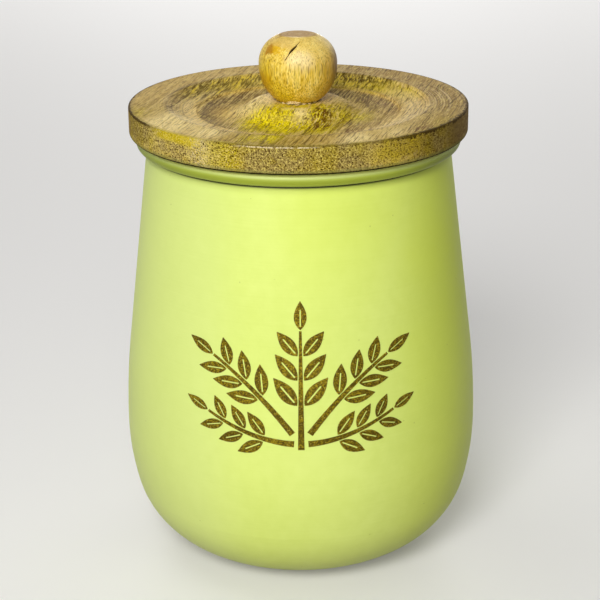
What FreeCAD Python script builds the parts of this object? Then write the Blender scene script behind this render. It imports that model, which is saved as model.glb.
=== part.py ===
import FreeCAD, Part
import math
import os

# Salt jar: a spun steel jar with a rolled rim, and a turned wooden lid with a plug, a silicone
# seal ring, and a ball knob held by a screw from below.
# Millimetres, +Z up. The origin is the centre of the base, on the surface that the jar stands on.

# Jar
jar_height = 140.5          # base to the top of the rolled rim
belly_diameter = 116.1      # widest, outside
belly_height = 43.0         # height of the widest circle
shoulder_blend = 13.7       # from there up to where the straight shoulder, carried down, meets the upright
neck_diameter = 97.2        # outside, level with the underside of the rolled rim
belly_sweep_radius = 83.0   # section of the lower belly
base_corner_radius = 29.8   # section of the turn into the base
sheet_thickness = 0.9
rim_curl_diameter = 4.4     # outside of the rolled rim's section
rim_curl_gap = 0.15         # between the curl's raw edge and the wall
stand_ring_width = 3.5      # flat ring that the jar stands on
base_push_up = 1.2          # how far the middle of the base is pressed in
base_step_radius = 2.0      # section of the step up to the pressed middle

# Lid, from its edge to its middle
lid_overhang = 2.15         # past the rolled rim
lid_thickness = 9.0
lid_rest_gap = 0.1          # between the lid's underside and the rolled rim
lid_top_round = 0.5
lid_lower_round = 1.2
lid_rim_width = 12.0        # flat rim round the dish
cove_width = 9.4            # slope from the rim down into the dish
cove_depth = 2.4
floor_step = 0.6            # small step from the cove to the dish's floor, as wide as it is deep
floor_width = 11.0
floor_fall = 0.2            # over the floor's width
boss_rise = 0.6             # knob's seat above the lid's rim
boss_crown_share = 0.55     # of the boss's slope that is convex
boss_seat_margin = 4.85     # of the seat, round the knob's foot

# Plug and seal ring
plug_clearance = 1.2        # between the plug and the mouth, on the radius
plug_edge_round = 1.0
plug_land = 2.2             # below the groove
groove_drop = 2.2           # lid's underside to the groove
groove_width = 3.6
groove_depth = 1.6
seal_fit = 0.1              # between the ring and its groove
seal_mouth_gap = 0.2        # between the lips and the narrowest part of the mouth
lip_root = 1.1
lip_tip = 0.5

# Knob
knob_diameter = 24.8
knob_height = 21.0
knob_equator = 11.0         # widest circle above the foot
knob_foot_diameter = 13.3
knob_top_diameter = 11.0    # flat top, before its edge is rounded
knob_top_round = 0.8

# Knob screw
screw_length = 30.0
screw_diameter = 4.0
screw_point = 4.0
screw_head_diameter = 8.0
screw_head_sink = 0.3       # head below the plug's underside
screw_hole_clearance = 0.2  # in the lid, on the radius
screw_end_clearance = 0.4   # past the point, in the knob
recess_span = 4.4           # cross recess of the head
recess_foot_span = 2.2      # at its bottom
recess_width = 1.0
recess_depth = 1.5

axis_start = FreeCAD.Vector(0, 0, 0)
axis_up = FreeCAD.Vector(0, 0, 1)
quarter = math.pi / 2


def at(radius, height):
    return FreeCAD.Vector(radius, 0, height)


def line(start, end):
    return Part.LineSegment(start, end).toShape()


def polyline(points):
    return [line(start, end) for start, end in zip(points, points[1:])]


def on_circle(centre, radius, angle):
    return centre + at(radius * math.cos(angle), radius * math.sin(angle))


def arc(centre, radius, start, end):
    angles = (start, (start + end) / 2, end)
    return Part.Arc(*[on_circle(centre, radius, angle) for angle in angles]).toShape()


def ends(edge):
    return edge.valueAt(edge.FirstParameter), edge.valueAt(edge.LastParameter)


def turned(edges):
    # Solid of revolution from the edges of a closed half section.
    section = Part.Face(Part.Wire(Part.__sortEdges__(edges)))
    return section.revolve(axis_start, axis_up, 360)


def save(shape, node):
    if len(shape.Solids) != 1 or not shape.isValid():
        raise RuntimeError("bad solid: " + node)
    shape.Solids[0].exportStep("parts/" + node + ".step")
    print(node, "volume", round(shape.Volume, 1), "mm3")


# Jar: where the stretches of its section meet
belly_radius = belly_diameter / 2
neck_radius = neck_diameter / 2
neck_height = jar_height - rim_curl_diameter

# The shoulder is a cone, blended into the belly's upright by an arc.
shoulder_angle = math.atan2(belly_radius - neck_radius, neck_height - belly_height - shoulder_blend)
shoulder_sweep_radius = shoulder_blend / math.tan(shoulder_angle / 2)
shoulder_centre = at(belly_radius - shoulder_sweep_radius, belly_height)
shoulder_normal = at(math.cos(shoulder_angle), math.sin(shoulder_angle))

# The lower belly runs into the base corner, and that into the stand ring.
belly_centre = at(belly_radius - belly_sweep_radius, belly_height)
corner_rise = belly_height - base_corner_radius
corner_run = math.sqrt((belly_sweep_radius - base_corner_radius) ** 2 - corner_rise ** 2)
base_radius = belly_centre.x + corner_run
corner_centre = at(base_radius, base_corner_radius)
corner_angle = math.atan2(-corner_rise, corner_run)

# The base steps up to its pressed middle in two equal arcs.
step_angle = math.acos(1 - base_push_up / (2 * base_step_radius))
step_outer_radius = base_radius - stand_ring_width
step_inner_radius = step_outer_radius - 2 * base_step_radius * math.sin(step_angle)

# The wall rolls outward over the rim, and its raw edge stops just short of the wall.
curl_outer = rim_curl_diameter / 2
curl_inner = curl_outer - sheet_thickness
curl_height = jar_height - curl_outer
wall_end_height = curl_height - curl_inner * math.sin(shoulder_angle)
wall_end = at(neck_radius - (wall_end_height - neck_height) * math.tan(shoulder_angle), wall_end_height)
curl_centre = wall_end + shoulder_normal * curl_inner
curl_start = math.pi + shoulder_angle
curl_stop = shoulder_angle - math.acos((rim_curl_gap - curl_inner) / curl_outer)
mouth_radius = curl_centre.x - curl_outer
rim_radius = curl_centre.x + curl_outer


def jar_skin(depth):
    # The section's outside face, or the face that lies depth inside it, from the axis to the raw edge.
    return [
        line(at(0, base_push_up + depth), at(step_inner_radius, base_push_up + depth)),
        arc(at(step_inner_radius, base_push_up - base_step_radius), base_step_radius + depth,
            quarter, quarter - step_angle),
        arc(at(step_outer_radius, base_step_radius), base_step_radius - depth,
            -quarter - step_angle, -quarter),
        line(at(step_outer_radius, depth), at(base_radius, depth)),
        arc(corner_centre, base_corner_radius - depth, -quarter, corner_angle),
        arc(belly_centre, belly_sweep_radius - depth, corner_angle, 0),
        arc(shoulder_centre, shoulder_sweep_radius - depth, 0, shoulder_angle),
        line(on_circle(shoulder_centre, shoulder_sweep_radius - depth, shoulder_angle),
             wall_end - shoulder_normal * depth),
        arc(curl_centre, curl_inner + depth, curl_start, curl_stop),
    ]


def make_jar_body():
    outside = jar_skin(0)
    inside = jar_skin(sheet_thickness)
    axis_edge = line(ends(outside[0])[0], ends(inside[0])[0])
    raw_edge = line(ends(outside[-1])[1], ends(inside[-1])[1])
    return turned(outside + [raw_edge] + inside + [axis_edge])


# Heights and radii that the lid, the knob, the seal and the screw share
lid_underside = jar_height + lid_rest_gap
lid_top = lid_underside + lid_thickness
knob_seat = lid_top + boss_rise
knob_foot_radius = knob_foot_diameter / 2
plug_radius = mouth_radius - plug_clearance
groove_radius = plug_radius - groove_depth
groove_top = lid_underside - groove_drop
groove_bottom = groove_top - groove_width
plug_bottom = groove_bottom - plug_land
screw_radius = screw_diameter / 2
screw_head_radius = screw_head_diameter / 2
head_face = plug_bottom + screw_head_sink
point_start = head_face + screw_length - screw_point


def boss_slope(seat, foot):
    # Convex crown and concave foot, level at both ends.
    run = foot.x - seat.x
    angle = 2 * math.atan2(seat.z - foot.z, run)
    both_radii = run / math.sin(angle)
    crown_radius = both_radii * boss_crown_share
    foot_radius = both_radii - crown_radius
    return [
        arc(seat - axis_up * crown_radius, crown_radius, quarter, quarter - angle),
        arc(foot + axis_up * foot_radius, foot_radius, -quarter - angle, -quarter),
    ]


def cove_slope(foot):
    # Level at its foot; it meets the flat rim in an edge.
    angle = 2 * math.atan2(cove_depth, cove_width)
    radius = cove_width / math.sin(angle)
    return arc(foot + axis_up * radius, radius, -quarter, -quarter + angle)


def make_lid():
    lid_radius = rim_radius + lid_overhang
    cove_foot = at(lid_radius - lid_rim_width - cove_width, lid_top - cove_depth)
    floor_edge = cove_foot - at(floor_step, floor_step)
    boss_foot = floor_edge - at(floor_width, floor_fall)
    boss_seat = at(knob_foot_radius + boss_seat_margin, knob_seat)
    cove = cove_slope(cove_foot)
    top_arris = arc(at(lid_radius - lid_top_round, lid_top - lid_top_round), lid_top_round, quarter, 0)
    lower_arris = arc(at(lid_radius - lid_lower_round, lid_underside + lid_lower_round), lid_lower_round,
                      0, -quarter)
    plug_arris = arc(at(plug_radius - plug_edge_round, plug_bottom + plug_edge_round), plug_edge_round,
                     0, -quarter)
    hole_radius = screw_radius + screw_hole_clearance
    sink_radius = screw_head_radius + screw_head_sink
    hole_top = at(hole_radius, knob_seat)

    top = [line(hole_top, boss_seat)]
    top += boss_slope(boss_seat, boss_foot)
    top += polyline([boss_foot, floor_edge, cove_foot])
    top += [cove, line(ends(cove)[1], ends(top_arris)[0]), top_arris]
    side = [line(ends(top_arris)[1], ends(lower_arris)[0]), lower_arris]
    plug = polyline([
        ends(lower_arris)[1],
        at(plug_radius, lid_underside),
        at(plug_radius, groove_top),
        at(groove_radius, groove_top),
        at(groove_radius, groove_bottom),
        at(plug_radius, groove_bottom),
        ends(plug_arris)[0],
    ])
    plug += [plug_arris]
    plug += polyline([
        ends(plug_arris)[1],
        at(sink_radius, plug_bottom),
        at(hole_radius, plug_bottom + sink_radius - hole_radius),
        hole_top,
    ])
    return turned(top + side + plug)


def make_lid_seal():
    # A band in the groove, with an upper and a lower lip.
    inner = groove_radius + seal_fit
    lip_radius = mouth_radius - seal_mouth_gap
    top = groove_top - seal_fit
    bottom = groove_bottom + seal_fit
    lip_slope = (lip_root - lip_tip) / 2
    outline = [at(inner, bottom), at(inner, top)]
    for root_top in (top, bottom + lip_root):
        outline += [
            at(plug_radius, root_top),
            at(lip_radius, root_top - lip_slope),
            at(lip_radius, root_top - lip_slope - lip_tip),
            at(plug_radius, root_top - lip_root),
        ]
    return turned(polyline(outline + outline[:1]))


def knob_side(end_radius, rise):
    # Arc from the knob's widest circle, where it is upright, to a circle rise above or below it.
    inset = knob_diameter / 2 - end_radius
    radius = (inset ** 2 + rise ** 2) / (2 * inset)
    centre = at(knob_diameter / 2 - radius, knob_seat + knob_equator)
    return arc(centre, radius, 0, math.atan2(rise, radius - inset))


def make_knob():
    top = knob_seat + knob_height
    hole_end = point_start + screw_end_clearance
    lower = knob_side(knob_foot_radius, -knob_equator)
    upper = knob_side(knob_top_diameter / 2, knob_height - knob_equator)
    edges = [lower, upper]
    edges += polyline([
        ends(upper)[1],
        at(0, top),
        at(0, hole_end + screw_point),
        at(screw_radius, hole_end),
        at(screw_radius, knob_seat),
        ends(lower)[1],
    ])
    knob = turned(edges)
    top_edge = [edge for edge in knob.Edges
                if abs(edge.BoundBox.ZMin - top) < knob_top_round / 2 and edge.BoundBox.XLength > 0]
    return knob.makeFillet(knob_top_round, top_edge)


def make_knob_screw():
    # The head's cone lies in the lid's countersink.
    screw = turned(polyline([
        at(0, head_face),
        at(screw_head_radius, head_face),
        at(screw_radius, head_face + screw_head_radius - screw_radius),
        at(screw_radius, point_start),
        at(0, point_start + screw_point),
        at(0, head_face),
    ]))
    # Each blade of the cross recess narrows towards its bottom.
    half_span = recess_span / 2
    half_foot = recess_foot_span / 2
    recess_end = head_face + recess_depth
    blade = Part.Face(Part.Wire(polyline([
        at(-half_span, head_face),
        at(half_span, head_face),
        at(half_foot, recess_end),
        at(-half_foot, recess_end),
        at(-half_span, head_face),
    ])))
    blade.translate(FreeCAD.Vector(0, -recess_width / 2, 0))
    blade = blade.extrude(FreeCAD.Vector(0, recess_width, 0))
    crossing = blade.copy()
    crossing.rotate(axis_start, axis_up, 90)
    return screw.cut(blade.fuse(crossing))


os.makedirs("parts", exist_ok=True)
save(make_jar_body(), "jar_body")
save(make_lid(), "lid")
save(make_lid_seal(), "lid_seal")
save(make_knob(), "knob")
save(make_knob_screw(), "knob_screw")
print("stand ring radius", round(base_radius, 2), "mouth radius", round(mouth_radius, 2))
print("overall height", round(knob_seat + knob_height, 2))
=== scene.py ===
import bpy
import bmesh
import math
import random
from mathutils import Matrix, Vector


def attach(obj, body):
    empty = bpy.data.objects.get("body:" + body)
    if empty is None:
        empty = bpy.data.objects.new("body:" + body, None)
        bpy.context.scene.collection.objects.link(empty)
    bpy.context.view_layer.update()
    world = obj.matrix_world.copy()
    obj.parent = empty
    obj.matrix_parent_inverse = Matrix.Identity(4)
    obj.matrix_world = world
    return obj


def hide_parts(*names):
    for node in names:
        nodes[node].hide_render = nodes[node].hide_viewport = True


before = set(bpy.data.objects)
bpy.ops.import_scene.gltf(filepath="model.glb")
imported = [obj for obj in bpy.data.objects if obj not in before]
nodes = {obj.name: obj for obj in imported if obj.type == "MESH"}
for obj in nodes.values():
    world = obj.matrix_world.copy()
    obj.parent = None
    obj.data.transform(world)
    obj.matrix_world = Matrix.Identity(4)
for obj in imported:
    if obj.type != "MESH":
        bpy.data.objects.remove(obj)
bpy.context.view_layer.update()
mm = 0.001
print("frame loaded:", ", ".join(sorted(nodes)))


# Shader maths

class Value:
    # a socket that can stand in a sum, on either side of a number
    def __init__(self, look, socket):
        self.look = look
        self.socket = socket

    def __add__(self, other):
        return self.look.math("ADD", self, other)

    def __sub__(self, other):
        return self.look.math("SUBTRACT", self, other)

    def __rsub__(self, other):
        return self.look.math("SUBTRACT", other, self)

    def __mul__(self, other):
        return self.look.math("MULTIPLY", self, other)

    def __truediv__(self, other):
        return self.look.math("DIVIDE", self, other)

    def __pow__(self, other):
        return self.look.math("POWER", self, other)

    def __abs__(self):
        return self.look.math("ABSOLUTE", self)

    __radd__ = __add__
    __rmul__ = __mul__


class Look:
    # one material, or the sky, and its nodes
    def __init__(self, name, constants, holder=None, shader="Principled BSDF"):
        self.material = holder or bpy.data.materials.new(name)
        self.material.use_nodes = True
        self.tree = self.material.node_tree
        self.shader = self.tree.nodes[shader]
        self.feed(constants)

    def feed(self, inputs):
        self.fill(self.shader, inputs)

    def fill(self, node, inputs):
        for key, value in inputs.items():
            if isinstance(value, Value):
                self.tree.links.new(value.socket, node.inputs[key])
            else:
                node.inputs[key].default_value = value

    def node(self, kind, settings, inputs, out=0):
        made = self.tree.nodes.new("ShaderNode" + kind)
        for key, value in settings.items():
            if key == "stops":
                self.setStops(made.color_ramp.elements, value)
            else:
                setattr(made, key, value)
        self.fill(made, inputs)
        return Value(self, made.outputs[out])

    def setStops(self, elements, stops):
        elements[0].position, elements[0].color = stops[0]
        elements[1].position, elements[1].color = stops[-1]
        for place, colour in stops[1:-1]:
            elements.new(place).color = colour

    def math(self, operation, a, b=0.0):
        return self.node("Math", {"operation": operation}, {0: a, 1: b})

    def place(self):
        # the point on the piece, in millimetres
        point = self.node("TexCoord", {}, {}, "Object")
        return self.node("VectorMath", {"operation": "SCALE"}, {0: point, "Scale": 1000})

    def split(self, vector):
        x = self.node("SeparateXYZ", {}, {0: vector})
        outputs = x.socket.node.outputs
        return x, Value(self, outputs[1]), Value(self, outputs[2])

    def fromAxis(self, x, y):
        return (x * x + y * y) ** 0.5

    def join(self, x, y, z):
        return self.node("CombineXYZ", {}, {0: x, 1: y, 2: z})

    def noise(self, vector, scale, detail=2.0, roughness=0.5):
        inputs = {"Vector": vector, "Scale": scale, "Detail": detail, "Roughness": roughness}
        return self.node("TexNoise", {}, inputs)

    def noiseAlong(self, value, scale, detail=2.0):
        inputs = {"W": value, "Scale": scale, "Detail": detail}
        return self.node("TexNoise", {"noise_dimensions": "1D"}, inputs)

    def cells(self, vector, scale, dimensions="3D"):
        # distance to the nearest of scattered points, and that point's three random numbers
        settings = {"voronoi_dimensions": dimensions}
        near = self.node("TexVoronoi", settings, {"Vector": vector, "Scale": scale})
        return near, self.split(Value(self, near.socket.node.outputs["Color"]))

    def step(self, value, low, high):
        # 0 at low and 1 at high, eased
        inputs = {"Value": value, "From Min": low, "From Max": high}
        return self.node("MapRange", {"interpolation_type": "SMOOTHSTEP"}, inputs)

    def mix(self, factor, a, b):
        return self.node("Mix", {"data_type": "RGBA"}, {0: factor, 6: a, 7: b}, 2)

    def stain(self, colour, strength, code):
        return self.mix(strength, colour, tone(code))

    def ramp(self, value, stops):
        return self.node("ValToRGB", {"stops": stops}, {0: value})

    def bump(self, height, depth):
        # height runs from 0 to 1 over depth, in millimetres
        return self.node("Bump", {}, {"Height": height, "Strength": 1.0, "Distance": depth * mm})


def tone(code):
    # screen colour to the linear colour that a socket takes
    parts = [int(code[i:i + 2], 16) / 255 for i in (0, 2, 4)]
    return [c / 12.92 if c <= 0.04045 else ((c + 0.055) / 1.055) ** 2.4 for c in parts] + [1]


def dress(obj, material):
    obj.data.materials.clear()
    obj.data.materials.append(material)


# Finishes

limeSet = {
    "deep": "DAEB77",
    "pale": "E3F385",
    "deepTint": "DAEC3D",                # painted shade: deeper lime for the shaded right side and the upper middle
    # painted light: paler lime toward the left side
    "paleTint": "DCEC93",
    "crevice": "232806",
    "worn": "8E8F86",
    "crevicePlace": (134.9, 135.5),   # height of the painted shade line just under the rolled rim
    "wallRadius": (48.2, 49.3),
    "beadRadius": 50.0,               # outside this lies the rolled rim's face
    # the rolled rim's tones, by height: a painted highlight on its upper half and painted shade on its lower
    # half
    "beadTones": [
        (135.9, "B9C855"), (136.4, "B4C450"), (136.9, "B6C650"), (137.3, "A4B335"), (137.7, "9EAC37"),
        (138.1, "9EAC38"), (138.5, "A8B644"), (138.85, "B8C662"), (139.15, "CEDE7C"), (139.5, "E2EE8A"),
        (140.2, "D2E27A"),
    ],
}


def limeCoat(s):
    look = Look("limeCoat", {"Specular IOR Level": 0.3})
    point = look.place()
    x, y, z = look.split(point)
    radius = look.fromAxis(x, y)
    cloud = look.noise(point, 0.03, 3.0)
    mottle = look.noise(point, 0.25, 3.0)
    turning = look.noiseAlong(z, 1.3, 3.0)                     # faint rings left by the spinning
    colour = look.mix(look.step(cloud * 0.6 + mottle * 0.3 + turning * 0.1, 0.3, 0.7),
                      tone(s["deep"]), tone(s["pale"]))
    # painted light and shade: a deeper, more saturated lime toward the shaded right side and across the upper
    # middle, and a paler lime toward the left
    deepTint = look.step(x + (cloud - 0.5) * 16.0, 22.0, 50.0) * (0.5 + look.step(z, 40.0, 120.0) * 0.35)
    deepTint = look.math("MAXIMUM", deepTint, look.step(x, -16.0, 4.0) * look.step(z, 85.0, 128.0) * 0.3)
    colour = look.stain(colour, deepTint, s["deepTint"])
    colour = look.stain(colour, look.step(x + (cloud - 0.5) * 16.0, -14.0, -34.0) * 0.5, s["paleTint"])
    near, pick = look.cells(point, 0.28)
    speck = look.step(near, 0.07, 0.04) * look.step(pick[0], 0.86, 0.9)
    colour = look.stain(colour, speck * 0.35, "7C8A38")

    # the rolled rim: a painted highlight on its upper half and painted shade on its lower half, and painted
    # shade lines on the wall under it
    foot, top = s["beadTones"][0][0], s["beadTones"][-1][0]
    stops = [((height - foot) / (top - foot), tone(code)) for height, code in s["beadTones"]]
    bead = look.step(radius, s["beadRadius"] - 0.3, s["beadRadius"]) * look.step(z, foot - 0.2, foot)
    colour = look.mix(bead, colour, look.ramp((z - foot) / (top - foot), stops))
    # painted shade: the rim is darker toward the left, and on its lower half at the right
    colour = look.stain(colour, bead * look.step(x, -12.0, -44.0) * 0.3, "7E8A2C")
    colour = look.stain(colour, bead * look.step(x, 26.0, 46.0) * look.step(z, 139.0, 137.8) * 0.4, "5E6A10")
    # painted shadow on the wall just under the rim
    colour = look.stain(colour, (1 - bead) * look.step(z, 132.6, 135.0) * 0.35, "9AA83A")   # under the rim
    # painted shade: a thin dark line on the wall just under the rolled rim
    low, high = s["crevicePlace"]
    inner, outer = s["wallRadius"]
    crevice = look.step(z, low, high) * look.step(z, 138.0, 137.5)
    crevice = crevice * look.step(radius, outer, outer - 0.2) * look.step(radius, inner - 0.3, inner)
    colour = look.stain(colour, crevice, s["crevice"])
    # the coat is rubbed off the stand ring
    rub = look.step(z, 0.35, 0.05) * look.step(mottle + cloud * 0.5, 0.62, 0.82)
    colour = look.stain(colour, rub, s["worn"])
    peel = look.noise(point, 0.9, 2.0)
    look.feed({
        "Base Color": colour,
        "Roughness": 0.40 + mottle * 0.14 + speck * 0.2,
        "Normal": look.bump(peel * 0.6 + turning * 0.4 - speck * 0.5, 0.05),
    })
    return look.material


lidSet = {
    "grainTurn": 75,           # degrees from +X, in plan
    "top": 149.6,
    "underside": 140.6,
    "edge": 54.0,
    "rimInside": 42.0,         # where the dish starts
    "light": "F1D384", "middle": "D2B05E", "dark": "8E6926", "pore": "422C06",
    # stains that follow the turning: inner radius and its fade, outer radius and its fade,
    # bearing, half angle, colour, strength
    "ringStains": [
        (32.5, 1.5, 41.5, 2.5, 98, 66, "94822E", 0.6),
        (37.0, 2.0, 42.8, 1.2, 168, 34, "6C5844", 0.55),
        (33.0, 0.8, 37.0, 1.5, 184, 44, "DCC490", 0.5),
        (26.5, 4.5, 32.4, 0.6, 188, 40, "4A3626", 0.85),
        (21.0, 3.5, 30.5, 2.0, 128, 42, "5A4224", 0.75),
        (20.5, 3.0, 31.0, 2.0, 45, 40, "48341E", 0.85),
        (24.0, 3.0, 33.0, 2.5, 350, 38, "7C5A3C", 0.66),
        (34.0, 1.5, 41.0, 1.5, 34, 15, "CAB31E", 0.75),
        (33.0, 1.5, 38.0, 1.5, 62, 16, "BEA92A", 0.65),
        (35.0, 1.5, 41.0, 1.5, 128, 22, "B8A440", 0.35),
        (38.0, 1.4, 42.6, 0.8, 62, 22, "40320A", 0.75),
        (38.0, 2.0, 43.2, 1.6, 134, 30, "4E3E10", 0.5),
        (35.0, 3.0, 41.8, 0.7, 272, 42, "785C26", 0.5),
        (34.0, 1.2, 39.0, 1.5, 0, 30, "E0C896", 0.45),
        (20.0, 2.0, 31.0, 1.5, 276, 36, "BCA650", 0.5),
        (14.0, 2.0, 25.0, 2.0, 322, 32, "8E7420", 0.45),
        (42.0, 1.0, 55.0, 1.0, 268, 44, "B8982C", 0.55),
        (34.0, 2.0, 43.0, 3.0, 330, 34, "C0A678", 0.5),
    ],
    # the same, round the knob, laid over the patches below: a yellow stain, a painted highlight on the boss's
    # front edge, and painted shadow in the gap under the knob's foot
    "lateStainsAndShade": [
        (7.6, 0.6, 10.6, 1.5, 262, 44, "EAD62C", 0.6),
        (11.2, 1.2, 13.0, 1.4, 268, 15, "F8EAA2", 0.55),
        (5.6, 0.5, 7.3, 0.45, 236, 9, "2C1C06", 0.95),
        (5.6, 0.5, 7.4, 0.45, 281, 9, "2A1406", 0.95),
        (5.6, 0.5, 7.5, 0.5, 303, 7, "1A1004", 0.95),
        (5.6, 0.5, 7.2, 0.4, 345, 20, "3C2A0C", 0.7),
    ],
    # stains that run with the grain: place in plan, radius, strength
    "yellow": [
        (-11, -15, 10, 1.2), (-6, -19, 8, 1.2), (-4, -24, 5, 0.9), (-3, -14.5, 6, 0.9),
        (4.5, -12.5, 4.5, 0.9), (0, -9.5, 5, 0.8), (6.5, -10.5, 4.5, 1.1), (6.5, -15.5, 4.0, 0.9),
        (14, -10.5, 8, 0.4), (19, -9, 7, 0.4), (1, -21, 7, 0.75), (8, -22.5, 7, 0.6),
        (-8.5, -43.5, 6, 0.9), (-15, -45, 6, 0.45), (46, -28, 7, 0.2), (-52, -14, 8, 0.3),
    ],
    "cream": [
        (-12.5, 0, 10, 1.1), (0.4, -14.2, 3.8, 1.0), (-38, -26, 14, 1.1), (-27, -37, 9, 0.9),
        (17, -46, 9, 0.7), (29, -39, 10, 0.45), (-48, 2, 14, 0.15),
    ],
    "brown": [(7.2, -15.5, 3.0, 0.9), (5.6, -18, 2.6, 0.8), (14, -26, 8, 0.4), (38, -37, 8, 0.4)],
    # the edge's patches: bearing, half angle, lowest and highest share of its height, colour, strength
    "edgeBands": [
        (202, 10, 0.3, 1.1, "6E5A20", 0.4),
        (227, 10, 0.72, 1.1, "D0B818", 0.9),
        (239.5, 2.8, 0.02, 1.1, "F2E0A2", 0.75),
        (245, 3.4, 0.12, 1.1, "CCBA0E", 0.7),
        (272, 20, -0.1, 1.1, "7E6C34", 0.4),
        (306, 6, 0.35, 1.1, "AE960A", 0.7),
        (326, 13, -0.1, 1.1, "50400C", 0.52),
        (172, 24, -0.1, 1.1, "8E7444", 0.6),
        (352, 24, -0.1, 1.1, "7C6440", 0.5),
    ],
    # stretches of the turn that differ from the rest: bearing, half angle, fade
    "stretches": {
        "endGrain": (262, 66, 10.0),
        "farCove": (100, 58, 12.0),
        "calm": (227, 10, 2.0),
        "front": (270, 34, 6.0),
        "torn": (322, 24, 10.0),
        "strip": (226, 12, 5.0),
        "paleCorner": (263, 11, 4.0),
    },
}


def patches(look, u, v, turn, spots, warp):
    # how deep a point lies in the nearest stain: 1 at a full one's middle, 0 at its edge
    # stains run with the grain
    total = None
    for x, y, reach, strength in spots:
        pu = x * math.cos(turn) + y * math.sin(turn)
        pv = y * math.cos(turn) - x * math.sin(turn)
        gap = (((u - pu) * 0.7) ** 2.0 + (v - pv) ** 2.0) ** 0.5 + warp
        depth = (1 - gap / reach) * strength
        total = depth if total is None else look.math("MAXIMUM", total, depth)
    return total


def sector(look, x, y, radius, bearing, half, fade):
    # 1 within half an angle of a bearing, seen from above, and 0 past its fade
    ahead = (x * math.cos(math.radians(bearing)) + y * math.sin(math.radians(bearing))) / radius
    return look.step(ahead, math.cos(math.radians(half + fade)), math.cos(math.radians(max(half - fade, 0))))


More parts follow.
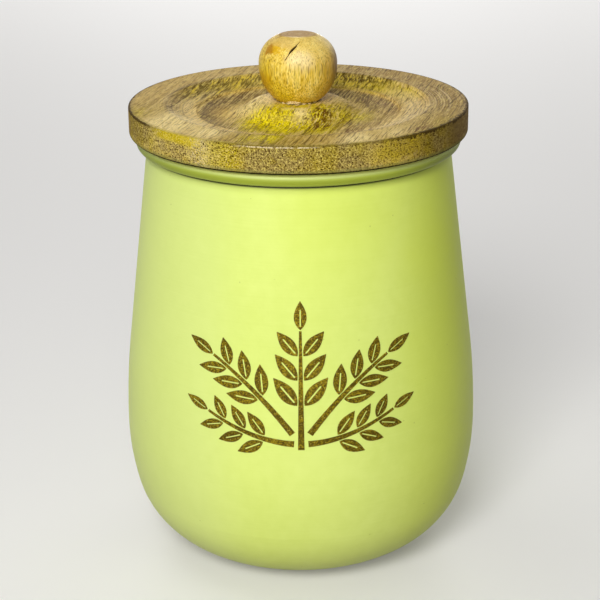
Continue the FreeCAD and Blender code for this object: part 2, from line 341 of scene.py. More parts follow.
def lidWood(s):
    look = Look("lidWood", {"Specular IOR Level": 0.03})
    point = look.place()
    x, y, z = look.split(point)
    radius = look.fromAxis(x, y)
    along = math.radians(s["grainTurn"])
    turned = look.node("Mapping", {}, {"Vector": point, "Rotation": (0, 0, -along)})
    u, v, w = look.split(turned)
    sway = look.noise(turned, 0.03, 2.0) - 0.5
    v = v + sway * 2.2
    w = w + u * 0.06 + sway * 1.6
    facing = look.node("TexCoord", {}, {}, "Normal")
    across = look.node("VectorMath", {"operation": "DOT_PRODUCT"},
                       {0: facing, 1: (math.cos(along), math.sin(along), 0)}, "Value")
    edge, top, low = s["edge"], s["top"], s["underside"]
    side = look.step(radius, edge - 2.0, edge - 1.2) * look.step(z, top + 0.1, top - 0.1)
    endGrain = look.step(abs(across), 0.45, 0.85)

    def stretch(name):
        return sector(look, x, y, radius, *s["stretches"][name])

    endGrain = look.math("MAXIMUM", endGrain, side * stretch("endGrain") * 0.9)

    # figure: broad bands, streaks, fine fibres, hairlines, and pores that are dashes along the grain
    # and dots across it
    broad = look.noise(look.join(u * 0.01, v * 0.13, w * 0.16), 1.0, 3.0)
    streak = look.noise(look.join(u * 0.022, v * 0.7, w * 0.4), 1.0, 4.0, 0.65)
    fibre = look.noise(look.join(u * 0.05, v * 1.7, w * 1.0), 1.0, 3.0, 0.7)
    hair = look.noise(look.join(u * 0.05, v * 1.6, w * 0.9), 1.0, 1.0)
    near, pick = look.cells(look.join(u * 0.16, v * 1.6, w * 1.0), 1.0)
    dash = look.step(near, 0.4, 0.14) * look.step(pick[0], 0.2, 0.6)
    crumb = look.noise(point, 1.8, 2.0, 0.7) - 0.5
    spot, spotPick = look.cells(look.join(v, w, 0.0), 1.4, "2D")
    fine, finePick = look.cells(look.join(v, w, 0.0), 2.7, "2D")
    dot = look.math("MAXIMUM", look.step(spot + crumb * 0.9, 0.46, 0.22) * (0.15 + spotPick[0] * 0.85),
                    look.step(fine + crumb * 0.8, 0.52, 0.2) * (0.2 + finePick[0] * 0.7))
    mottle = look.noise(point, 0.12, 4.0, 0.6)
    warp = (mottle - 0.5) * 9.0 + (streak - 0.5) * 14.0 + (fibre - 0.5) * 14.0

    grain = broad * 0.25 + streak * 0.4 + fibre * 0.35
    colour = look.ramp(grain, [(0.38, tone(s["dark"])), (0.48, tone(s["middle"])), (0.59, tone(s["light"]))])
    rim = look.step(radius + warp * 0.06, s["rimInside"] - 1.0, s["rimInside"] + 1.0)
    # painted shade: the rim darkens toward the right and back
    rimTone = look.mix(look.step(x + y * 0.4, 0.0, 48.0), tone("AA8C50"), tone("72542E"))
    colour = look.mix(rim * 0.5, colour, rimTone)

    # turning lines show where the cutter met the grain side on
    lines = look.noiseAlong(radius + sway * 1.2 + crumb * 0.4, 1.5, 4.0)
    sideOn = look.step(abs(y - 2.0), 26.0, 6.0) * look.step(radius, 34.0, 37.0)
    sideOn = sideOn * (1 - look.step(radius, 41.0, 45.0) * look.step(x, 0.0, -20.0) * 0.85)
    colour = look.stain(colour, sideOn * look.step(lines, 0.5, 0.42) * 0.5, "66503A")
    colour = look.stain(colour, sideOn * look.step(lines, 0.54, 0.61) * 0.42, "E2CC9A")

    darkStreak = look.step(streak * 0.4 + fibre * 0.6, 0.56, 0.45)
    above = look.step(z, low + 0.2, low + 0.8)                               # the underside stays clean
    edgeWarp = (streak - 0.5) * 4.0 + (fibre - 0.5) * 5.0 + (mottle - 0.5) * 3.0

    # draws stains that follow the turning; the late rows round the knob also paint a highlight and shadow
    def stainAndShadeRings(colour, rows, wander):
        for inner, innerFade, outer, outerFade, bearing, half, code, strength in rows:
            ring = look.step(radius + wander, inner - innerFade, inner + innerFade)
            ring = ring * look.step(radius + wander * 0.5, outer + outerFade, outer - outerFade)
            ring = ring * sector(look, x, y, radius, bearing, half, min(14.0, half))
            ring = ring * (0.45 + darkStreak * 0.55) * above
            colour = look.stain(colour, ring * strength, code)
        return colour

    colour = stainAndShadeRings(colour, s["ringStains"], edgeWarp)
    # the far cove is streaked with olive and straw
    farCove = look.step(radius + edgeWarp * 0.6, 32.0, 34.0) * look.step(radius + edgeWarp * 0.6, 43.0, 41.0)
    farCove = farCove * stretch("farCove")
    thin = streak * 0.5 + fibre * 0.5
    shade = look.step(thin, 0.49, 0.43) * (0.58 + look.step(x, -10.0, 12.0) * 0.37)
    colour = look.stain(colour, farCove * shade, "564206")
    colour = look.stain(colour, farCove * look.step(thin, 0.5, 0.57) * 0.75, "DCC034")

    broken = look.step(streak * 0.35 + fibre * 0.5 + mottle * 0.15, 0.42, 0.54)
    yellow = patches(look, u, v, along, s["yellow"], warp)
    yellow = yellow - rim * look.step(y, 0.0, 15.0) * 0.5 - (1 - above) * 2.0           # less on the far rim
    colour = look.stain(colour, look.step(yellow, -0.5, 0.4) * 0.4, "98842A")
    fleck = fibre * 0.45 + mottle * 0.3 + crumb * 0.4 + streak * 0.25
    gold = look.ramp(fleck, [(0.4, tone("806A00")), (0.5, tone("D0BA00")), (0.6, tone("F4E00A"))])
    colour = look.mix(look.step(yellow, 0.0, 0.5) * (0.75 + broken * 0.25), colour, gold)
    cream = look.step(patches(look, u, v, along, s["cream"], warp), 0.0, 0.7)
    colour = look.stain(colour, cream * (0.3 + broken * 0.5), "FFE8A2")
    brown = look.step(patches(look, u, v, along, s["brown"], warp), 0.0, 0.5) * above
    colour = look.stain(colour, brown * (0.45 + darkStreak * 0.5), "5E3802")
    mound = look.step(radius + warp * 0.2, 27.0, 21.0)
    colour = look.stain(colour, mound * look.step(crumb, -0.02, -0.18) * 0.45, "6E5408")
    colour = look.stain(colour, mound * look.step(crumb, 0.04, 0.2) * 0.4, "ECD83E")
    # painted highlight and painted shadow round the knob's foot, with a yellow stain
    colour = stainAndShadeRings(colour, s["lateStainsAndShade"], crumb * 1.2)
    hairline = (1 - endGrain) * (0.5 - rim * look.step(x, -20.0, -44.0) * 0.35)
    colour = look.stain(colour, look.step(hair, 0.39, 0.33) * hairline * 1.4, "503A18")
    grit = look.noise(look.join(u * 0.32, v * 1.8, w * 1.3), 1.0, 2.0, 0.6)              # short torn fibres
    colour = look.stain(colour, look.step(grit, 0.45, 0.35) * (1 - endGrain) * 0.4, "5E4824")
    colour = look.stain(colour, look.step(grit, 0.55, 0.65) * (1 - endGrain) * 0.35, "F0DC7E")

    # end grain drinks more oil, and its pores stand open
    colour = look.stain(colour, endGrain * 0.7, "C6AE44")
    drift = look.noise(point, 0.14, 3.0, 0.6)
    colour = look.stain(colour, endGrain * look.step(drift, 0.5, 0.4) * 0.5, "BAA472")
    colour = look.stain(colour, endGrain * look.step(drift, 0.53, 0.62) * 0.5, "D2BA22")
    for bearing, half, foot, head, code, strength in s["edgeBands"]:
        share = (z - low) / (top - low) + crumb * 0.3
        band = look.step(share, foot - 0.08, foot + 0.08) * look.step(share, head + 0.08, head - 0.08)
        band = band * sector(look, x + crumb * 6.0, y, radius, bearing, half, min(half * 0.4, 2.5)) * side
        colour = look.stain(colour, band * strength, code)
    speck = look.step(crumb, 0.0, 0.16) * (0.66 - look.step(x, 0.0, 36.0) * 0.42)
    colour = look.stain(colour, endGrain * speck, "F2DE76")
    calm = stretch("calm") * look.step(z, top - 2.8, top - 2.2) * 0.55
    pore = dash * (1 - endGrain) * (0.52 - rim * look.step(x, 20.0, -30.0) * 0.28)
    pore = pore + dot * endGrain * (1 - calm)
    colour = look.stain(colour, pore, s["pore"])

    # worn corners, and painted shade low on the edge
    front = stretch("front")
    colour = look.stain(colour, front * rim * look.step(thin, 0.48, 0.42) * (1 - endGrain) * 0.55, "6A5020")
    line = look.step(abs(radius - s["rimInside"] + sway * 0.4 + crumb * 0.5), 0.5, 0.1)
    line = line * front * look.step(mottle, 0.36, 0.5)
    colour = look.stain(colour, line * 0.6, "4E3A18")
    torn = stretch("torn")
    chip = look.noise(point, 0.8, 2.0, 0.6) - 0.5
    bite = (chip * 2.6 + crumb * 1.6) * (0.5 + torn * 0.8)
    corner = look.step(radius + bite - edge + torn * 0.2, -0.9, -0.5)
    corner = corner * look.step(z + bite - top + torn * 0.25, -0.7, -0.3)
    sides = look.step(abs(x + 4.0), 20.0, 42.0)
    colour = look.stain(colour, corner * (0.4 + sides * 0.5) * (1 - stretch("strip") * 0.8), "3A2A0E")
    # the pale top arris at the front: worn wood, and a painted highlight where the rounded corner catches the
    # light
    pale = look.step(abs(z - top + 0.5), 0.25, 0.1) * look.step(radius, edge - 0.4, edge - 0.1)
    pale = pale * stretch("paleCorner") * look.step(fibre, 0.42, 0.5)
    colour = look.stain(colour, pale * 0.8, "EAD8B0")
    # painted shade low on the edge, tinted green as a painted reflection of the lime rim, then a dark painted
    # shade line at the lower edge
    colour = look.stain(colour, look.step(z, low + 2.0, low + 1.0) * side * 0.5, "7E8046")
    colour = look.stain(colour, look.step(z, low + 0.8, low + 0.5) * side, "1E180A")

    relief = fibre * 0.4 + lines * 0.3 - pore * 0.7 - line * 0.5
    look.feed({
        "Base Color": colour,
        "Roughness": 0.55 + mottle * 0.2 + pore * 0.15,
        "Normal": look.bump(relief, 0.03),
    })
    return look.material


knobSet = {
    "seat": 150.2,
    "height": 21.0,
    "equator": 11.0,
    "diameter": 24.8,
    "footDiameter": 13.3,
    "footGap": (0.7, 0.35),    # how far in and how high the foot is cut back
    "topDiameter": 11.0,
    "topRound": 0.8,
    "roundSteps": 5,
    "shoulder": 0.3,           # how much fuller than an arc the upper half is
    "holeDiameter": 4.0,
    "holeEnd": 159.3,
    "holeTip": 163.3,
    "arcSteps": 22,
    "turns": 128,
    # the drying crack, a wide tear in a fine slit: middle, direction, and half the length, width
    # and depth of each
    "cracks": [
        ((-1.5, -9.6, 168.25), (4.7, 3.0, 4.4), (2.0, 0.42, 2.0)),
        ((-1.7, -9.7, 168.0), (4.5, 3.3, 5.0), (4.7, 0.16, 1.7)),
    ],
    "stain": (-7.4, -6.4, 168.0, 4.0),
    # painted highlight on the front: middle and spread
    "frontHighlight": (0.7, -11.6, 165.3, 5.0),
}


def knobWood(s):
    look = Look("knobWood", {"Specular IOR Level": 0.12, "Coat Roughness": 0.36})
    point = look.place()
    x, y, z = look.split(point)
    radius = look.fromAxis(x, y)
    rise = z - s["seat"]
    sway = look.noise(point, 0.09, 2.0) - 0.5
    a = x + sway * 1.6
    b = y + sway * 1.6
    streak = look.noise(look.join(a * 0.55, b * 0.55, z * 0.05), 1.0, 3.0, 0.6)
    fibre = look.noise(look.join(a * 2.6, b * 2.6, z * 0.12), 1.0, 3.0, 0.65)
    near, pick = look.cells(look.join(a * 2.4, b * 2.4, z * 0.15), 1.0)
    pore = look.step(near, 0.4, 0.16) * look.step(pick[0], 0.05, 0.3)
    fine, finePick = look.cells(look.join(a * 3.6, b * 3.6, z * 0.3), 1.0)
    pore = look.math("MAXIMUM", pore, look.step(fine, 0.42, 0.18) * look.step(finePick[0], 0.3, 0.5) * 0.7)
    pore = pore * (0.6 + look.step(rise, 18.0, 13.0) * 0.4)
    mottle = look.noise(point, 0.22, 3.0, 0.6)
    drift = mottle - 0.5

    colour = look.ramp(streak * 0.45 + fibre * 0.55, [
        (0.36, tone("B8941A")), (0.47, tone("E6C348")), (0.58, tone("FAE07A")),
    ])
    golden = look.step(x + rise * 0.9 + drift * 14.0, 8.0, -3.0)
    gilt = look.mix(look.step(fibre, 0.38, 0.6), tone("B89400"), tone("F2D210"))
    colour = look.mix(golden * 0.85, colour, gilt)
    shine = look.step(x * 0.5 + rise + drift * 5.0, 13.0, 20.0)          # painted light: paler towards the upper right
    colour = look.stain(colour, shine * 0.3, "E4C680")
    # painted highlight: a pale cream patch on the knob's front
    hx, hy, hz, spread = s["frontHighlight"]
    gap = (((x - hx) * 0.8) ** 2.0 + (y - hy) ** 2.0 + (z - hz) ** 2.0) ** 0.5 + (streak - 0.5) * 5.0
    colour = look.stain(colour, look.step(gap, spread, spread * 0.2) * 0.5, "FFECBA")
    facet = look.step(x + drift * 4.0, 0.0, -2.0)
    facet = facet * look.step(rise + x * 0.06 + drift * 2.0, 18.0, 18.7)
    right = look.step(x + drift * 4.0, 5.0, 11.0) * look.step(rise, 18.0, 12.0)
    colour = look.stain(colour, right * 0.55, "C49000")
    # painted shade: a dark band down the right edge
    colour = look.stain(colour, look.step(x + drift * 2.0, 9.6, 12.2) * 0.75, "664414")
    amber = look.step(x + drift * 5.0, -6.5, -10.0) * look.step(rise, 12.0, 8.0)
    colour = look.stain(colour, amber * 0.6, "C49000")
    olive = look.step(streak * 0.6 + mottle * 0.4, 0.54, 0.64) * look.step(rise, 17.0, 12.0)
    colour = look.stain(colour, olive * 0.45, "BCA412")
    sx, sy, sz, reach = s["stain"]
    gap = (((x - sx) * 0.7) ** 2.0 + (y - sy) ** 2.0 + ((z - sz) * 1.5) ** 2.0) ** 0.5
    gap = gap + drift * 9.0 + (streak - 0.5) * 5.0 + (fibre - 0.5) * 3.0
    stain = look.mix(look.step(x - sx + drift * 6.0, 0.8, -1.0), tone("DEB000"), tone("B68200"))
    colour = look.mix(look.step(gap, reach * 1.05, reach * 0.45), colour, stain)
    colour = look.stain(colour, facet * 0.65, "DAB75C")
    colour = look.stain(colour, pore * 0.75, "664A0A")

    # end grain on top, with a brown line round its front
    crownRadius = s["topDiameter"] / 2
    crown = look.step(radius + drift * 2.4, crownRadius + 1.0, crownRadius - 0.4)
    behind = y + x * 0.2 + (streak - 0.5) * 3.0        # the brown stops short of the front
    crown = crown * look.step(rise, s["height"] - 1.4, s["height"] - 0.4) * look.step(behind, -4.8, -3.4)
    rings = look.noiseAlong(radius + sway * 2.0, 1.6, 3.0)
    ends = look.ramp(rings, [(0.35, tone("906A38")), (0.65, tone("B28E58"))])
    colour = look.mix(crown * 0.85, colour, ends)
    lip = look.step(abs(behind + 3.8), 0.7, 0.2) * look.step(rise, s["height"] - 1.0, s["height"] - 0.4)
    colour = look.stain(colour, lip * look.step(mottle - x * 0.08, 0.4, 0.6) * 0.7, "8A5A28")

    # painted shade inside the crack, and at the foot
    half = s["diameter"] / 2
    inset, climb = half - crownRadius, s["height"] - s["equator"]
    arc = (inset ** 2 + climb ** 2) / (2 * inset)
    buried = arc - ((radius - (half - arc)) ** 2.0 + (rise - s["equator"]) ** 2.0) ** 0.5
    inside = look.step(buried, 0.1, 0.45) * look.step(rise, s["equator"], s["equator"] + 1.0)
    inside = inside * look.step(rise, s["height"] - 0.35, s["height"] - 0.6)
    colour = look.stain(colour, inside * 0.85, "4E3018")
    foot = look.step(rise, 1.1, 0.1) * look.step(mottle + x * 0.03, 0.3, 0.55)
    colour = look.stain(colour, foot * 0.7, "4A3410")
    look.feed({
        "Base Color": colour,
        "Roughness": 0.38 + mottle * 0.14 + pore * 0.2 + crown * 0.2,
        "Coat Weight": 0.24 * look.step(rise, s["height"] - 0.3, s["height"] - 0.9),
        "Normal": look.bump(fibre * 0.3 - pore * 0.7, 0.05),
    })
    return look.material


def tornFibre():
    look = Look("tornFibre", {"Specular IOR Level": 0.25})
    point = look.place()
    hairs = look.noise(point, 3.0, 3.0, 0.7)
    colour = look.ramp(hairs, [(0.35, tone("A8833E")), (0.5, tone("D8BC7C")), (0.65, tone("F0E0B4"))])
    look.feed({"Base Color": colour, "Roughness": 0.7 + hairs * 0.2, "Normal": look.bump(hairs, 0.06)})
    return look.material


def silicone():
    look = Look("silicone", {"Specular IOR Level": 0.4})
    point = look.place()
    cloud = look.noise(point, 0.06, 3.0)
    near, pick = look.cells(point, 0.9)
    dust = look.step(near, 0.16, 0.06) * look.step(pick[1], 0.8, 0.86)
    colour = look.mix(look.step(cloud, 0.35, 0.65), tone("DEDCD2"), tone("EAE8E0"))
    colour = look.stain(colour, dust * 0.5, "B9B29E")
    look.feed({
        "Base Color": colour,
        "Roughness": 0.45 + cloud * 0.15 + dust * 0.2,
        "Normal": look.bump(look.noise(point, 2.2, 2.0) + dust * 0.6, 0.03),
    })
    return look.material


def screwSteel():
    look = Look("screwSteel", {"Specular IOR Level": 0.5, "Metallic": 1.0})
    point = look.place()
    x, y, _ = look.split(point)
    radius = look.fromAxis(x, y)
    turning = look.noiseAlong(radius, 5.0, 3.0)
    bloom = look.noise(point, 0.8, 3.0)
    colour = look.mix(look.step(bloom, 0.35, 0.7), tone("B9B8B0"), tone("D2D1C8"))
    colour = look.stain(colour, look.step(radius, 1.6, 0.6) * 0.5, "6A6862")
    look.feed({
        "Base Color": colour,
        "Roughness": 0.28 + bloom * 0.2,
        "Normal": look.bump(turning + bloom * 0.4, 0.02),
    })
    return look.material


def glitterFilm():
    look = Look("glitterFilm", {"Specular IOR Level": 0.15})
    point = look.place()
    near, pick = look.cells(point, 3.4)
    cloud = look.noise(point, 0.07, 3.0)
    glint = look.step(pick[0] + (cloud - 0.5) * 0.8, 0.45, 0.95)
    colour = look.mix(glint, tone("544404"), tone("9A861A"))
    spark = look.step(pick[1], 0.9, 0.93) * look.step(near, 0.45, 0.3)
    colour = look.stain(colour, spark * 0.8, "DCC860")
    look.feed({
        "Base Color": colour,
        "Metallic": 0.25 + glint * 0.35,
        "Roughness": 0.36 + pick[2] * 0.3,
        "Normal": look.bump(pick[1] * 0.6 + near * 0.6, 0.05),
    })
    return look.material


finishes = {
    "lime_coat": limeCoat(limeSet),
    "lid_wood": lidWood(lidSet),
    "knob_wood": knobWood(knobSet),
    "torn_fibre": tornFibre(),
    "silicone": silicone(),
    "screw_steel": screwSteel(),
    "glitter_film": glitterFilm(),
}
for name, finish in [("jar_body", "lime_coat"), ("lid", "lid_wood"), ("knob", "knob_wood"),
                     ("lid_seal", "silicone"), ("knob_screw", "screw_steel")]:
    dress(nodes[name], finishes[finish])
print("finishes made:", len(finishes))


# Modelling helpers

def clearSelection():
    bpy.ops.object.select_all(action="DESELECT")


def startPiece(name):
    # the primitive just added becomes a named piece, open in edit mode
    piece = bpy.context.object
    piece.name = name
    piece.data.name = name
    bpy.ops.object.mode_set(mode="EDIT")
    return piece


def pickPoints(piece, test):
    bpy.ops.mesh.select_all(action="DESELECT")
    mesh = bmesh.from_edit_mesh(piece.data)
    for point in mesh.verts:
        point.select_set(test(point.co))
    mesh.select_flush_mode()
    bmesh.update_edit_mesh(piece.data)


def applyModifiers(piece):
    bpy.context.view_layer.objects.active = piece
    for modifier in list(piece.modifiers):
        bpy.ops.object.modifier_apply(modifier=modifier.name)


def selectOnly(piece):
    clearSelection()
    piece.select_set(True)
    bpy.context.view_layer.objects.active = piece


def settle(piece):
    # its place goes into its mesh
    selectOnly(piece)
    bpy.ops.object.transform_apply(location=True, rotation=True, scale=True)


def copyOf(piece, name):
    selectOnly(piece)
    bpy.ops.object.duplicate(linked=False)
    bpy.context.object.name = name
    return bpy.context.object


def joinAll(pieces, name):
    clearSelection()
    for piece in pieces:
        piece.select_set(True)
    bpy.context.view_layer.objects.active = pieces[0]
    bpy.ops.object.join()
    pieces[0].name = name
    pieces[0].data.name = name
    return pieces[0]


def smooth(piece, angle):
    selectOnly(piece)
    bpy.ops.object.shade_smooth_by_angle(angle=math.radians(angle))


def turn(name, profile, steps):
    # draws a point out along the profile (radius, height in millimetres) and spins the line round
    clearSelection()
    bpy.ops.mesh.primitive_plane_add(size=mm)
    piece = startPiece(name)
    bpy.ops.mesh.merge(type="CENTER")
    corners = [Vector((radius * mm, 0, height * mm)) for radius, height in profile]
    bpy.ops.transform.translate(value=corners[0])
    for last, corner in zip(corners, corners[1:]):
        bpy.ops.mesh.extrude_region_move(TRANSFORM_OT_translate={"value": corner - last})
    bpy.ops.mesh.select_all(action="SELECT")
    bpy.ops.mesh.spin(steps=steps, angle=2 * math.pi, center=(0, 0, 0), axis=(0, 0, 1))
    bpy.ops.mesh.select_all(action="SELECT")
    bpy.ops.mesh.remove_doubles(threshold=0.00001)
    bpy.ops.mesh.normals_make_consistent(inside=False)
    bpy.ops.object.mode_set(mode="OBJECT")
    return piece


# Knob, with the crack that drying left in it

def arcPoints(centre, height, radius, start, stop, steps):
    turns = [start + (stop - start) * i / steps for i in range(steps + 1)]
    return [(centre + radius * math.cos(a), height + radius * math.sin(a)) for a in turns]


def makeKnob(s):
    seat, half = s["seat"], s["diameter"] / 2
    middle, top = seat + s["equator"], seat + s["height"]
    foot, crown = s["footDiameter"] / 2, s["topDiameter"] / 2
    profile = [(0, s["holeTip"]), (s["holeDiameter"] / 2, s["holeEnd"]), (s["holeDiameter"] / 2, seat)]
    deep, high = s["footGap"]
    profile += [(foot - deep, seat), (foot - deep + 0.1, seat + high)]
    fall = s["equator"]
    lower = ((half - foot) ** 2 + fall ** 2) / (2 * (half - foot))
    start = -math.asin((fall - high) / lower)
    profile += arcPoints(half - lower, middle, lower, start, 0, s["arcSteps"])
    rise = s["height"] - s["equator"]
    upper = ((half - crown) ** 2 + rise ** 2) / (2 * (half - crown))
    edgeHeight = rise - s["topRound"]
    edgeTurn = math.asin(edgeHeight / (upper - s["topRound"]))
    shoulder = arcPoints(half - upper, middle, upper, 0, edgeTurn, s["arcSteps"])[1:]
    for i, (radius, height) in enumerate(shoulder):
        full = s["shoulder"] * math.sin(math.pi * (i + 1) / s["arcSteps"])
        shoulder[i] = (radius + full, height + full * 0.5)
    profile += shoulder
    edgeCentre = half - upper + (upper - s["topRound"]) * math.cos(edgeTurn)
    edgeMiddle = top - s["topRound"]
    rounding = arcPoints(edgeCentre, edgeMiddle, s["topRound"], edgeTurn, math.pi / 2, s["roundSteps"])
    profile += rounding[1:]
    profile += [(edgeCentre * 0.5, top), (0, top)]
    knob = turn("knobTurned", profile, s["turns"])

    # the crack is cut with thin lenses that lie along it
    for centre, way, (length, width, depth) in s["cracks"]:
        clearSelection()
        bpy.ops.mesh.primitive_uv_sphere_add(segments=48, ring_count=24, radius=1.0)
        lens = bpy.context.object
        run = Vector(way).normalized()
        out = (Vector(centre) - Vector((0, 0, middle))).normalized()
        side = out.cross(run).normalized()
        out = run.cross(side)
        grid = Matrix((run * length, side * width, out * depth)).transposed() * mm
        lens.matrix_world = Matrix.Translation(Vector(centre) * mm) @ grid.to_4x4()
        settle(lens)
        cut = knob.modifiers.new("crack", "BOOLEAN")
        cut.operation = "DIFFERENCE"
        cut.solver = "EXACT"
        cut.object = lens
        applyModifiers(knob)
        bpy.data.objects.remove(lens)
    smooth(knob, 35)
    dress(knob, finishes["knob_wood"])
    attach(knob, "lid")
    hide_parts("knob")
    print("knob turned:", len(knob.data.polygons), "faces")


makeKnob(knobSet)


# Torn fibres round the knob's foot

fibreSet = {
    "seat": 150.2,
    "radius": 6.6,
    "count": 26,
    "seed": 7,
    "length": (0.8, 2.2),
    "thick": (0.18, 0.36),
    "scatter": (-0.15, 0.35),      # in radius
    "rise": (0, 0.25),
    "frontShare": 0.7,             # the share that lies at the front, and its bearing and spread there
    "front": (-95, 38),
    "swing": (-0.2, 0.2),          # off the tangent, and off the level
    "tip": (-0.12, 0.08),
    "taper": ((0.5, 0.12), (0.25, 0.6), (-0.25, 0.85), (-0.5, 0.3)),
    # the larger torn slivers: bearing, radius, length, thickness, height above the seat
    "slivers": [
        (-104, 8.0, 3.2, 0.55, 1.05), (-93, 7.9, 2.6, 0.5, 0.8), (-100, 7.9, 3.0, 0.42, 0.62),
        (-112, 7.8, 1.4, 0.4, 0.4), (-92, 8.2, 1.6, 0.3, 0.22), (-128, 7.5, 1.6, 0.4, 0.3),
        (-75, 7.5, 1.5, 0.35, 0.3), (-62, 7.6, 1.2, 0.3, 0.25), (70, 7.5, 2.4, 0.5, 0.35),
    ],
}


def makeFibres(s):
    clearSelection()
    bpy.ops.mesh.primitive_cube_add(size=1.0)
    splinter = startPiece("splinter")
    bpy.ops.mesh.subdivide(number_cuts=3)
    # drawn out to a point at both ends
    for reach, shrink in s["taper"]:
        pickPoints(splinter, lambda co: abs(co.x - reach) < 0.01)
        bpy.ops.transform.resize(value=(1, shrink, shrink), center_override=(reach, 0, 0))
    bpy.ops.object.mode_set(mode="OBJECT")
    chance = random.Random(s["seed"])
    rows = list(s["slivers"])
    for i in range(s["count"]):
        # most of the small ones lie at the front
        atFront = i < s["count"] * s["frontShare"]
        degrees = chance.gauss(*s["front"]) if atFront else chance.uniform(0, 360)
        thick = chance.uniform(*s["thick"])
        radius = s["radius"] + chance.uniform(*s["scatter"])
        length = chance.uniform(*s["length"])
        rows.append((degrees, radius, length, thick, thick * 0.5 + chance.uniform(*s["rise"])))
    fibres = []
    for degrees, radius, length, thick, rise in rows:
        turnTo = math.radians(degrees)
        place = Vector((radius * math.cos(turnTo), radius * math.sin(turnTo), s["seat"] + rise))
        fibre = copyOf(splinter, "splinter")
        lean = Matrix.Rotation(turnTo + math.pi / 2 + chance.uniform(*s["swing"]), 4, "Z")
        lift = Matrix.Rotation(chance.uniform(*s["tip"]), 4, "Y")
        scale = Matrix.Diagonal((length * mm, thick * 1.2 * mm, thick * mm, 1))
        fibre.matrix_world = Matrix.Translation(place * mm) @ lean @ lift @ scale
        settle(fibre)
        fibres.append(fibre)
    bpy.data.objects.remove(splinter)
    fibres = joinAll(fibres, "footFibres")
    smooth(fibres, 40)
    dress(fibres, finishes["torn_fibre"])
    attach(fibres, "lid")
    print("foot fibres laid:", len(rows))


makeFibres(fibreSet)


# Leaf sprig cut from glitter film, on the jar's front

sprigSet = {
    "thick": 0.12,
    "lift": 0.04,               # glue line
    "leafLength": 10.5,
    "leafWidth": 4.6,
    "leafRows": 16,
    "veinGap": 0.5,
    "veinRun": (0.1, 0.72),     # where the vein is split open, as a share of the leaf
    "veinCut": (0.05, 0.74),    # the same with its ends, for the cut
    "sizes": (1.08, 0.3),       # leaf size at a stem's root, and what it loses to the tip
    "stemWidth": (2.0, 0.8),
    "stemRows": 24,
    "ahead": 80,                # the flat film starts this far in front of the axis
    # each stem: root, bend and tip (across, up), the share of its length where the leaf pairs sit, leaf size
    "stems": [
        ((0.0, 54.5), (0.0, 75.0), (0.0, 92.0), (0.36, 0.57, 0.78), 1.08),
        ((2.7, 59.6), (13.5, 74.0), (26.5, 82.5), (0.43, 0.63, 0.83), 0.96),
        ((-2.7, 59.6), (-13.5, 74.0), (-26.5, 82.5), (0.43, 0.63, 0.83), 0.96),
        ((2.2, 56.4), (15.0, 57.2), (28.5, 64.5), (0.36, 0.59, 0.82), 0.85),
        ((-2.2, 56.4), (-15.0, 57.2), (-28.5, 64.5), (0.36, 0.59, 0.82), 0.85),
    ],
    "cutGap": 0.4,              # bare coat between stem and leaf
    "leafAngle": 40,
}


def stemPoint(stem, t):
    root, bend, tip = [Vector(corner) for corner in stem[:3]]
    place = root * (1 - t) ** 2 + bend * 2 * t * (1 - t) + tip * t ** 2
    way = (bend - root) * (1 - t) + (tip - bend) * t
    return place, math.atan2(way.y, way.x)


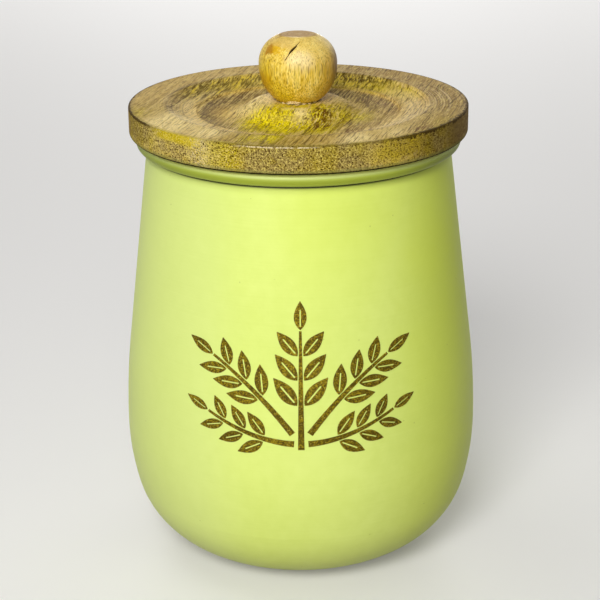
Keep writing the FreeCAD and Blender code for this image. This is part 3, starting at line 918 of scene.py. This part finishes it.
def makeSprig(s):
    # one leaf, lying along +Y from its stalk, split along its vein
    clearSelection()
    leafRows, stemRows = s["leafRows"], s["stemRows"]
    bpy.ops.mesh.primitive_grid_add(x_subdivisions=4, y_subdivisions=leafRows, size=1.0, location=(0, 0.5, 0))
    leaf = startPiece("leaf")
    bpy.ops.object.mode_set(mode="OBJECT")
    settle(leaf)
    bpy.ops.object.mode_set(mode="EDIT")
    for i in range(leafRows + 1):
        t = i / leafRows
        pickPoints(leaf, lambda co: abs(co.y - t) < 0.01)
        swell = s["leafWidth"] * max(0.04, math.sin(math.pi * t ** 0.85) ** 0.9) * mm
        bpy.ops.transform.resize(value=(swell, 1, 1), center_override=(0, t, 0))
    length = s["leafLength"] * mm
    bpy.ops.mesh.select_all(action="SELECT")
    bpy.ops.transform.resize(value=(1, length, 1), center_override=(0, 0, 0))
    half = s["veinGap"] / 2 * mm
    low, high = [share * length for share in s["veinRun"]]
    pickPoints(leaf, lambda co: abs(co.x) < 1e-6 and low < co.y < high)
    bpy.ops.mesh.bevel(offset=half, segments=1, affect="EDGES")
    low, high = [share * length for share in s["veinCut"]]
    pickPoints(leaf, lambda co: abs(co.x) < half * 1.02 and low < co.y < high)
    bpy.ops.mesh.delete(type="FACE")
    bpy.ops.object.mode_set(mode="OBJECT")

    flat = Matrix.Rotation(math.pi / 2, 4, "X")           # stands the film up in front of the jar
    front = -s["ahead"] * mm
    parked = 10.0                                         # height that keeps finished rows out of the way
    cuts = []
    wide, thin = s["stemWidth"]
    for stem in s["stems"]:
        clearSelection()
        bpy.ops.mesh.primitive_grid_add(x_subdivisions=2, y_subdivisions=stemRows, size=1.0)
        strip = startPiece("stem")
        for i in range(stemRows + 1):
            t = i / stemRows
            place, heading = stemPoint(stem, t)
            width = wide * (1 - t) + thin * t
            row = Vector((0, t - 0.5, 0))
            pickPoints(strip, lambda co: abs(co.y - row.y) < 0.01 and abs(co.x) < 0.51 and abs(co.z) < 0.01)
            bpy.ops.transform.resize(value=(width * mm, 1, 1), center_override=row)
            bpy.ops.transform.translate(value=(place.x * mm, place.y * mm - row.y, parked))
            bpy.ops.transform.rotate(value=math.pi / 2 - heading, orient_axis="Z",
                                     center_override=(place.x * mm, place.y * mm, parked))
        bpy.ops.mesh.select_all(action="SELECT")
        bpy.ops.transform.translate(value=(0, 0, -parked))
        bpy.ops.object.mode_set(mode="OBJECT")
        strip.matrix_world = Matrix.Translation((0, front, 0)) @ flat
        settle(strip)
        cuts.append(strip)
        spots = [(t, side) for t in stem[3] for side in (-1, 1)] + [(1.0, 0)]
        for t, side in spots:
            place, heading = stemPoint(stem, t)
            width = wide * (1 - t) + thin * t
            off = heading + side * math.pi / 2                      # the last leaf stands off the tip itself
            gap = s["cutGap"] + abs(side) * width / 2
            place = place + Vector((math.cos(off), math.sin(off))) * gap
            size = stem[4] * (s["sizes"][0] - s["sizes"][1] * t)
            aim = heading - math.pi / 2 + side * math.radians(s["leafAngle"])
            blade = copyOf(leaf, "leaf")
            spot = Matrix.Translation((place.x * mm, front, place.y * mm))
            scale = Matrix.Diagonal((size, size, 1, 1))
            blade.matrix_world = spot @ flat @ Matrix.Rotation(aim, 4, "Z") @ scale
            settle(blade)
            cuts.append(blade)
    bpy.data.objects.remove(leaf)
    sprig = joinAll(cuts, "frontSprig")

    wrap = sprig.modifiers.new("wrap", "SHRINKWRAP")
    wrap.target = nodes["jar_body"]
    wrap.wrap_method = "PROJECT"
    wrap.use_project_y = True
    wrap.use_positive_direction = True
    wrap.use_negative_direction = False
    wrap.offset = s["lift"] * mm
    shell = sprig.modifiers.new("shell", "SOLIDIFY")
    shell.thickness = s["thick"] * mm
    shell.offset = 1.0
    applyModifiers(sprig)
    smooth(sprig, 30)
    dress(sprig, finishes["glitter_film"])
    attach(sprig, "jar")
    print("sprig cut:", len(cuts), "cuts,", len(sprig.data.polygons), "faces")


makeSprig(sprigSet)


# Studio

studio = {
    "floorSize": 14.0,
    "floorColour": (0.78, 0.77, 0.755, 1),
    "bounceColour": (0.26, 0.225, 0.17, 1),   # what the jar's underside sees
    "glow": (0.125, 0.123, 0.121, 1),        # added where the floor is seen near the jar
    "fade": (0.15, 1.6),                     # how far off the floor turns into the sky
    "skyColour": (0.80, 0.79, 0.775, 1),     # what the camera sees past the floor
    "skyLight": (0.120, 0.118, 0.114, 1),    # what lights the jar from all round
    "lamps": [
        # name, place, size, watts
        ("card", (-0.28, -1.28, 0.62), 1.00, 9.9),
        ("key", (-0.25, -1.02, 0.86), 0.45, 8.7),
        ("top", (-0.45, 0.25, 1.10), 0.60, 2.0),
        ("window", (0.70, 1.10, 0.70), 1.00, 3.0),
        ("back", (0.0, 2.40, 0.40), 0.70, 13.0),
    ],
    "aim": (0.0, 0.0, 0.09),
    "lens": 107.76,
    "cameraPlace": (0.0, -0.5579, 0.2886),
    "pitch": 20.31,
    "roll": -0.5,
}


def seenDirectly(look):
    # 1 for the camera and for what mirrors or lets through the view, 0 for light that the scene scatters
    path = look.node("LightPath", {}, {}, "Is Camera Ray")
    rays = path.socket.node.outputs
    seen = look.math("MAXIMUM", path, Value(look, rays["Is Glossy Ray"]))
    return look.math("MAXIMUM", seen, Value(look, rays["Is Transmission Ray"]))


def makeStudio(s):
    clearSelection()
    bpy.ops.mesh.primitive_plane_add(size=s["floorSize"])
    floor = bpy.context.object
    floor.name = "floor"
    look = Look("paleFloor", {"Roughness": 0.7, "Specular IOR Level": 0.2, "Emission Strength": 1.0})
    seen = seenDirectly(look)
    x, y, _ = look.split(look.place())
    near, far = [reach * 1000 for reach in s["fade"]]
    away = look.step(look.fromAxis(x, y), near, far)
    look.feed({
        "Base Color": look.mix(seen, s["bounceColour"], look.mix(away, s["floorColour"], (0, 0, 0, 1))),
        "Emission Color": look.mix(seen, (0, 0, 0, 1), look.mix(away, s["glow"], s["skyColour"])),
    })
    dress(floor, look.material)

    sky = Look("softSky", {"Strength": 1.0}, bpy.data.worlds.new("softSky"), "Background")
    sky.feed({"Color": sky.mix(seenDirectly(sky), s["skyLight"], s["skyColour"])})
    bpy.context.scene.world = sky.material

    for name, place, size, watts in s["lamps"]:
        bpy.ops.object.light_add(type="AREA", location=place)
        lamp = bpy.context.object
        lamp.name = name
        lamp.data.size = size
        lamp.data.energy = watts
        toAim = Vector(s["aim"]) - lamp.location
        lamp.rotation_euler = toAim.to_track_quat("-Z", "Y").to_euler()

    bpy.ops.object.camera_add(location=s["cameraPlace"])
    camera = bpy.context.object
    camera.data.lens = s["lens"]
    tilt = Matrix.Rotation(math.radians(90 - s["pitch"]), 3, "X")
    camera.rotation_euler = (tilt @ Matrix.Rotation(math.radians(s["roll"]), 3, "Z")).to_euler()
    bpy.context.scene.camera = camera
    bpy.context.scene.view_settings.view_transform = "Standard"
    print("studio lit, camera set")


makeStudio(studio)
